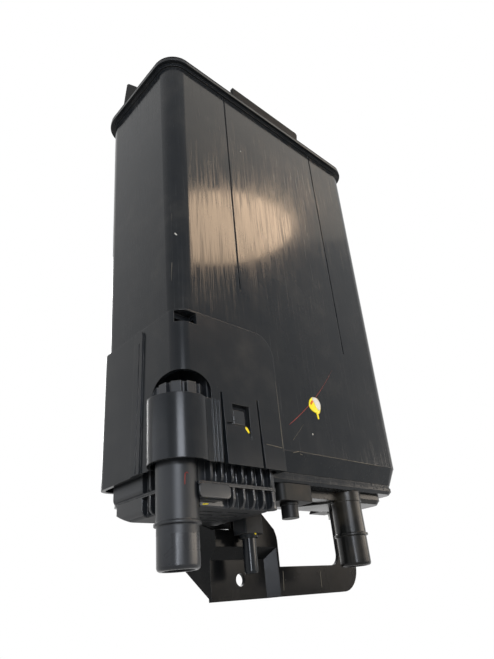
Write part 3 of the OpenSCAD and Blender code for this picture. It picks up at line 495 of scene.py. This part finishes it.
@dataclass(frozen=True)
class Mark:
    """Paint, a scuff or a painted highlight on the canister: a thin closed body that follows the surface under it.

    Attributes:
        name: Piece name.
        finish: What it is made of.
        points: Places across and up, in millimetres of the part's frame.
        wide_mm: Width of a stroke at its start and end, or None for a filled outline.
        high_mm: Height of its crown.
        aim: Side that it is seen from.
        steepest_mm: Largest step inward between two neighbouring points.
    """

    name: str
    finish: Finish
    points: Points
    wide_mm: tuple[float, float] | None = None
    high_mm: float = 0.12
    aim: Aim = Aim.FRONT
    steepest_mm: float = 1.5

    def build(self, depsgraph: bpy.types.Depsgraph, material: bpy.types.Material) -> bpy.types.Object:
        """Makes the mark and lets it ride on the canister.

        Args:
            depsgraph: Scene that the mark is laid on.
            material: Material of its finish.

        Returns:
            The new piece.
        """
        rings = self._rings()
        mesh = bmesh.new()
        made = [[mesh.verts.new(self._land(depsgraph, place, high)) for place, high in ring] for ring in rings]
        inward = self._inward()
        around = len(made[0])
        for low, top in zip(made, made[1:]):
            for k in range(around):
                mesh.faces.new((low[k], low[(k + 1) % around], top[(k + 1) % around], top[k]))
        mesh.faces.new(made[0][::-1])
        mesh.faces.new(made[-1])
        bmesh.ops.recalc_face_normals(mesh, faces=mesh.faces)
        steps = [abs((edge.verts[0].co - edge.verts[1].co).dot(inward)) for edge in mesh.edges]
        if max(steps) > self.steepest_mm * MM:
            raise ValueError(f"{self.name} bridges a gap of {max(steps) / MM:.1f} mm")
        data = bpy.data.meshes.new(self.name)
        mesh.to_mesh(data)
        mesh.free()
        data.polygons.foreach_set("use_smooth", [True] * len(data.polygons))
        data.materials.append(material)
        piece = bpy.data.objects.new(self.name, data)
        bpy.context.scene.collection.objects.link(piece)
        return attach(piece, ROOT)

    def _rings(self) -> list[Ring]:
        """Rings of places and heights, along a stroke or from the rim of an outline to its middle."""
        return self._outline_rings() if self.wide_mm is None else self._stroke_rings()

    def _outline_rings(self) -> list[Ring]:
        """Rings from the rim of a filled outline to its middle.

        Returns:
            Places across and up with their heights, all in millimetres.
        """
        line = smooth(self.points, OUTLINE_STEPS, True)
        middle = sum(line, Vector((0.0, 0.0))) / len(line)
        return [
            [(middle + (p - middle) * share, self._height(high)) for p in line] for share, high in OUTLINE_SECTION
        ]

    def _stroke_rings(self) -> list[Ring]:
        """Rings along a stroke, from its start to its end.

        Returns:
            Places across and up with their heights, all in millimetres.
        """
        line = smooth(self.points, STROKE_STEPS, False)
        last = len(line) - 1
        rings = []
        for i, p in enumerate(line):
            run = (line[min(i + 1, last)] - line[max(i - 1, 0)]).normalized()
            side = Vector((-run.y, run.x))
            part = i / last
            full = self.wide_mm[0] * (1 - part) + self.wide_mm[1] * part
            half = full / 2 * max(STROKE_TIP, 1 - (2 * part - 1) ** STROKE_LATE)
            rings.append([(p + side * half * share, self._height(high)) for share, high in STROKE_SECTION])
        return rings

    def _height(self, high: float) -> float:
        """Height over the surface in millimetres for a height of a section."""
        return high if high < 0 else high * self.high_mm

    def _inward(self) -> Vector:
        """Level direction from the viewer to the canister."""
        across = Vector(self.aim.value)
        return Vector((-across.y, across.x, 0.0))

    def _land(self, depsgraph: bpy.types.Depsgraph, place: Vector, high: float) -> Vector:
        """Lays one point on the canister.

        Args:
            depsgraph: Scene that holds the canister.
            place: Where the point is, across and up, in millimetres.
            high: Height over the surface in millimetres.

        Returns:
            The point in metres.
        """
        inward = self._inward()
        start = (Vector(self.aim.value) * place.x + Vector((0.0, 0.0, place.y))) * MM - inward * CAST_FROM_M
        hit, spot, normal, _, _, _ = bpy.context.scene.ray_cast(depsgraph, start, inward)
        if not hit:
            raise ValueError(f"{self.name} misses the canister at {tuple(place)}")
        return spot + normal * high * MM


MARKS: tuple[Mark, ...] = (
    Mark(
        "red_line", RED,
        (
            (-1.3, 79.0), (5.6, 83.9), (13.0, 89.5), (20.9, 96.0), (28.1, 102.4), (35.9, 110.1), (42.9, 117.7),
            (50.5, 126.9),
        ),
        (0.65, 0.25), 0.05,
    ),
    Mark(
        "yellow_drop", YELLOW,
        (
            (23.0, 100.8), (20.3, 98.0), (19.6, 94.3), (22.1, 91.8), (25.5, 90.7), (28.6, 90.7), (30.6, 93.4),
            (31.3, 97.3), (29.3, 100.9), (26.0, 101.6),
        ),
        None, 0.3,
    ),
    Mark(
        "white_dab", WHITE,
        (
            (24.0, 101.1), (28.0, 101.2), (30.8, 98.4), (30.7, 95.1), (29.1, 93.0), (26.9, 93.9), (25.1, 97.0),
            (23.7, 99.2),
        ),
        None, 0.5,
    ),
    Mark("yellow_drip", YELLOW, ((26.6, 91.8), (27.1, 88.8), (27.5, 86.9)), (2.0, 1.6), 0.35),
    Mark("orange_dab", ORANGE, ((21.3, 95.9), (22.6, 97.5), (23.9, 98.7)), (1.6, 1.2), 0.4),
    Mark("white_speck", WHITE, ((19.0, 75.7), (19.9, 76.4)), (1.1, 1.1), 0.1),
    Mark("pale_speck", WHITE, ((-19.7, 291.6), (-19.0, 292.1)), (0.8, 0.8), 0.1),
    Mark(
        "yellow_dab", YELLOW,
        ((-39.9, 70.9), (-38.8, 71.3), (-37.7, 70.0), (-37.3, 68.2), (-38.1, 67.7), (-39.2, 69.0)), None, 0.3,
    ),
    Mark("yellow_dash", YELLOW, ((-65.4, 30.9), (-63.5, 31.1), (-61.6, 31.2)), (0.7, 0.6), 0.1),
    Mark("yellow_dot", YELLOW, ((-4.2, 22.9), (-3.0, 22.9)), (1.2, 1.2), 0.2),
    Mark("red_stroke", RED, ((-17.4, 43.8), (-17.6, 41.3), (-17.8, 38.2)), (0.6, 0.4), 0.05, Aim.CORNER),
    Mark("red_hook", RED, ((-17.4, 43.6), (-16.6, 44.1), (-16.0, 43.5)), (0.5, 0.3), 0.05, Aim.CORNER),
    Mark("white_dash", WHITE, ((-19.2, 188.5), (-17.9, 186.6)), (0.9, 0.9), 0.1, Aim.CORNER),
    Mark("scratch_low", SCUFF_AND_HIGHLIGHT, ((-21.4, 167.8), (-21.8, 161.6), (-22.0, 154.7)), (0.5, 0.3), 0.04, Aim.CORNER),
    Mark("scratch_high", SCUFF_AND_HIGHLIGHT, ((-20.7, 204.4), (-21.0, 198.2)), (0.4, 0.3), 0.04, Aim.CORNER),
    # Pale lines that paint the highlights along the sleeve's right edge, along its low ledge and along the body's
    # crease
    Mark("sleeve_edge_highlight", SCUFF_AND_HIGHLIGHT, ((-12.6, 104.3), (-12.5, 84.1), (-12.7, 60.3)), (0.3, 0.5), 0.04),
    Mark("sleeve_ledge_highlight", SCUFF_AND_HIGHLIGHT, ((-26.2, 63.2), (-19.2, 62.9), (-13.2, 62.5)), (0.4, 0.5), 0.04),
    Mark("crease_highlight", SCUFF_AND_HIGHLIGHT, ((2.5, 63.6), (33.9, 63.4), (92.8, 62.9)), (0.3, 0.45), 0.03),
    Mark("scuff_high", SCUFF_AND_HIGHLIGHT, ((-0.1, 69.3), (7.9, 77.1), (11.9, 81.5)), (0.3, 0.2), 0.03),
    # Pale lines that paint the highlights of the bracket arm's two bends
    Mark("arm_bend_highlight_left", SCUFF_AND_HIGHLIGHT, ((30.9, 4.0), (30.4, -1.7), (29.8, -7.8)), (0.6, 0.5), 0.03),
    Mark("arm_bend_highlight_right", SCUFF_AND_HIGHLIGHT, ((51.2, 3.2), (51.1, -1.7), (50.8, -7.6)), (0.5, 0.4), 0.03, Aim.CORNER),
    Mark("scuff_left", SCUFF_AND_HIGHLIGHT, ((-0.4, 62.4), (2.0, 62.9), (4.5, 63.6)), (0.5, 0.4), 0.04),
    Mark("scuff_right", SCUFF_AND_HIGHLIGHT, ((5.6, 62.4), (7.0, 62.1), (8.4, 62.0)), (0.6, 0.3), 0.04),
)


@dataclass
class Canister:
    """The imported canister, which gets its finishes and its marks.

    Attributes:
        nodes: Its solids by the names of their nodes.
    """

    nodes: dict[str, bpy.types.Object]

    def dress(self) -> None:
        """Gives every solid the material of its finish."""
        made = {finish.name: finish.material() for finish in NODE_FINISHES.values()}
        for name, node in sorted(self.nodes.items()):
            key = name if name in NODE_FINISHES else name.split("_")[0]
            finish = NODE_FINISHES[key]
            node.data.materials.clear()
            node.data.materials.append(made[finish.name])
            LOG.info("%s: %s", name, finish.name)

    def mark(self) -> None:
        """Lays the paint, the scuffs and the pale lines of painted highlight on it."""
        made: dict[str, bpy.types.Material] = {}
        bpy.context.view_layer.update()
        depsgraph = bpy.context.evaluated_depsgraph_get()
        for mark in MARKS:
            if mark.finish.name not in made:
                made[mark.finish.name] = mark.finish.material()
            piece = mark.build(depsgraph, made[mark.finish.name])
            LOG.info("%s: %s", piece.name, mark.finish.name)


@dataclass(frozen=True)
class Card:
    """A soft box that the glossy walls mirror.

    Attributes:
        name: Lamp name.
        place_mm: Where its middle is.
        aim_mm: Point that it faces.
        wide_mm: Its width.
        high_mm: Its height.
        watts: Its power.
        colour: Colour of its light.
        shape: Blender's name of its shape.
        roll: How far it is turned about its aim, in degrees.
    """

    name: str
    place_mm: Place
    aim_mm: Place
    wide_mm: float
    high_mm: float
    watts: float
    colour: str
    shape: str = "RECTANGLE"
    roll: float = 0.0


CARDS: tuple[Card, ...] = (
    # The window that the front mirrors
    Card("window", (548, -736, 913), (-50, -57, 204), 434, 202, 3.3, "#ffdbb5", "ELLIPSE", -2.3),
    # Lit ceiling over the window
    Card("ceiling", (861, -819, 1463), (16, -57, 200), 1100, 720, 2.2, "#fff1db"),
    # Open door behind the camera, which the tube housing mirrors
    Card("door", (-1036, -1928, 660), (-76, -44, 30), 850, 360, 33.0, "#eef4ff"),
    # Bright ground outside the door, which the lower tube mirrors
    Card("doorstep", (-1519, -1705, 184), (-76, -44, 30), 330, 210, 9.8, "#eef4ff"),
    # Dim wall ahead, low, for the right edge of the tubes and the front of the filter box
    Card("front_wall", (1203, -1852, 295), (-60, -50, 25), 1000, 300, 3.8, "#fff6ea"),
    # Lit wall to the right, low
    Card("right_wall", (1326, -945, 215), (0, -50, 40), 1050, 150, 4.6, "#fff0de"),
    # Dimmer wall to the left, low
    Card("left_wall", (-1510, 395, 460), (-76, -44, 40), 2100, 370, 5.4, "#eef4ff"),
    # Weak light behind, for the back
    Card("back_wall", (650, 1800, 1000), (0, 0, 150), 1500, 1000, 28.0, "#ffffff"),
)


@dataclass
class Studio:
    """Camera, lamps, world and floor around the canister.

    Attributes:
        eye_mm: Where the camera is.
        right: Direction to the right of the picture.
        down: Direction down the picture.
        forward: Direction into the picture.
        lens_mm: Focal length.
        sensor_mm: Width of the sensor.
        near_m: Distance at which the camera starts to see.
        room: Colour of the light from all around.
        room_strength: Strength of that light.
        white_strength: Strength of the white that the camera and the gloss see.
        floor_colour: Colour of the floor.
        floor_z_mm: Height of the floor.
        floor_size_mm: Width of the floor.
    """

    eye_mm: Place = (-231.70, -258.17, -16.84)
    right: Place = (0.73680, -0.67040, -0.08773)
    down: Place = (0.25982, 0.40054, -0.87867)
    forward: Place = (0.62420, 0.62461, 0.46930)
    lens_mm: float = 38.466
    sensor_mm: float = 36.0
    near_m: float = 0.01
    room: str = "#f4f4f2"
    room_strength: float = 0.22
    white_strength: float = 1.0
    floor_colour: str = "#e8e8e6"
    floor_z_mm: float = -260.0
    floor_size_mm: float = 30000.0

    def camera(self) -> None:
        """Sets the camera where the photograph was taken from."""
        data = bpy.data.cameras.new("photo_camera")
        data.sensor_fit = "HORIZONTAL"
        data.sensor_width = self.sensor_mm
        data.lens = self.lens_mm
        data.clip_start = self.near_m
        camera = bpy.data.objects.new("photo_camera", data)
        turn = Matrix((self.right, [-c for c in self.down], [-c for c in self.forward])).transposed()
        camera.matrix_world = Matrix.Translation(Vector(self.eye_mm) * MM) @ turn.to_4x4()
        bpy.context.scene.collection.objects.link(camera)
        bpy.context.scene.camera = camera

    def lamp(self, card: Card) -> None:
        """Adds one soft box.

        Args:
            card: Its place, size and light.
        """
        data = bpy.data.lights.new(card.name, "AREA")
        data.shape = card.shape
        data.size, data.size_y = card.wide_mm * MM, card.high_mm * MM
        data.energy = card.watts
        data.color = linear(card.colour)[:3]
        lamp = bpy.data.objects.new(card.name, data)
        aim = (Vector(card.aim_mm) - Vector(card.place_mm)).to_track_quat("-Z", "Y")
        roll = Matrix.Rotation(math.radians(card.roll), 4, "Z")
        lamp.matrix_world = Matrix.Translation(Vector(card.place_mm) * MM) @ aim.to_matrix().to_4x4() @ roll
        bpy.context.scene.collection.objects.link(lamp)

    def world(self) -> None:
        """Lights the room evenly and keeps it white behind the canister."""
        world = bpy.data.worlds.new("pale_room")
        bpy.context.scene.world = world
        world.use_nodes = True
        tree = world.node_tree
        tree.nodes.clear()
        seen = self._seen(tree)
        soft = add(tree, "Background", {"Color": linear(self.room), "Strength": self.room_strength})
        white = add(tree, "Background", {"Color": PURE_WHITE, "Strength": self.white_strength})
        both = add(tree, "MixShader", {0: seen, 1: soft.outputs[0], 2: white.outputs[0]})
        add(tree, "OutputWorld", {"Surface": both.outputs[0]})

    def _seen(self, tree: Tree) -> Socket:
        """Tells the rays that see the white background from those that light the canister.

        Args:
            tree: Tree of the world or of the floor's material.

        Returns:
            A socket that is 1 for rays from the camera, off gloss and through glass.
        """
        path = add(tree, "LightPath").outputs
        direct = {0: path["Is Camera Ray"], 1: path["Is Glossy Ray"]}
        gloss = add(tree, "Math", direct, operation="MAXIMUM").outputs[0]
        glass = {0: gloss, 1: path["Is Transmission Ray"]}
        return add(tree, "Math", glass, operation="MAXIMUM").outputs[0]

    def floor(self) -> None:
        """Lays a pale floor under the canister, plain white to the camera."""
        mesh = bpy.data.meshes.new("floor")
        half = self.floor_size_mm * MM / 2
        corners = [(-half, -half, 0), (half, -half, 0), (half, half, 0), (-half, half, 0)]
        mesh.from_pydata(corners, [], [(0, 1, 2, 3)])
        floor = bpy.data.objects.new("floor", mesh)
        floor.location.z = self.floor_z_mm * MM
        bpy.context.scene.collection.objects.link(floor)
        material = bpy.data.materials.new("pale_floor")
        material.use_nodes = True
        tree = material.node_tree
        tree.nodes.clear()
        matt = add(tree, "BsdfDiffuse", {"Color": linear(self.floor_colour)})
        white = add(tree, "Emission", {"Color": PURE_WHITE, "Strength": self.white_strength})
        both = add(tree, "MixShader", {0: self._seen(tree), 1: matt.outputs[0], 2: white.outputs[0]})
        add(tree, "OutputMaterial", {"Surface": both.outputs[0]})
        mesh.materials.append(material)


def main() -> None:
    """Builds the studio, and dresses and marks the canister."""
    logging.basicConfig(level=logging.INFO, format="%(message)s")
    bpy.context.scene.view_settings.view_transform = "Standard"
    studio = Studio()
    studio.camera()
    studio.world()
    for card in CARDS:
        studio.lamp(card)
    studio.floor()
    canister = Canister(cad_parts)
    canister.dress()
    canister.mark()


if __name__ == "__main__":
    main()
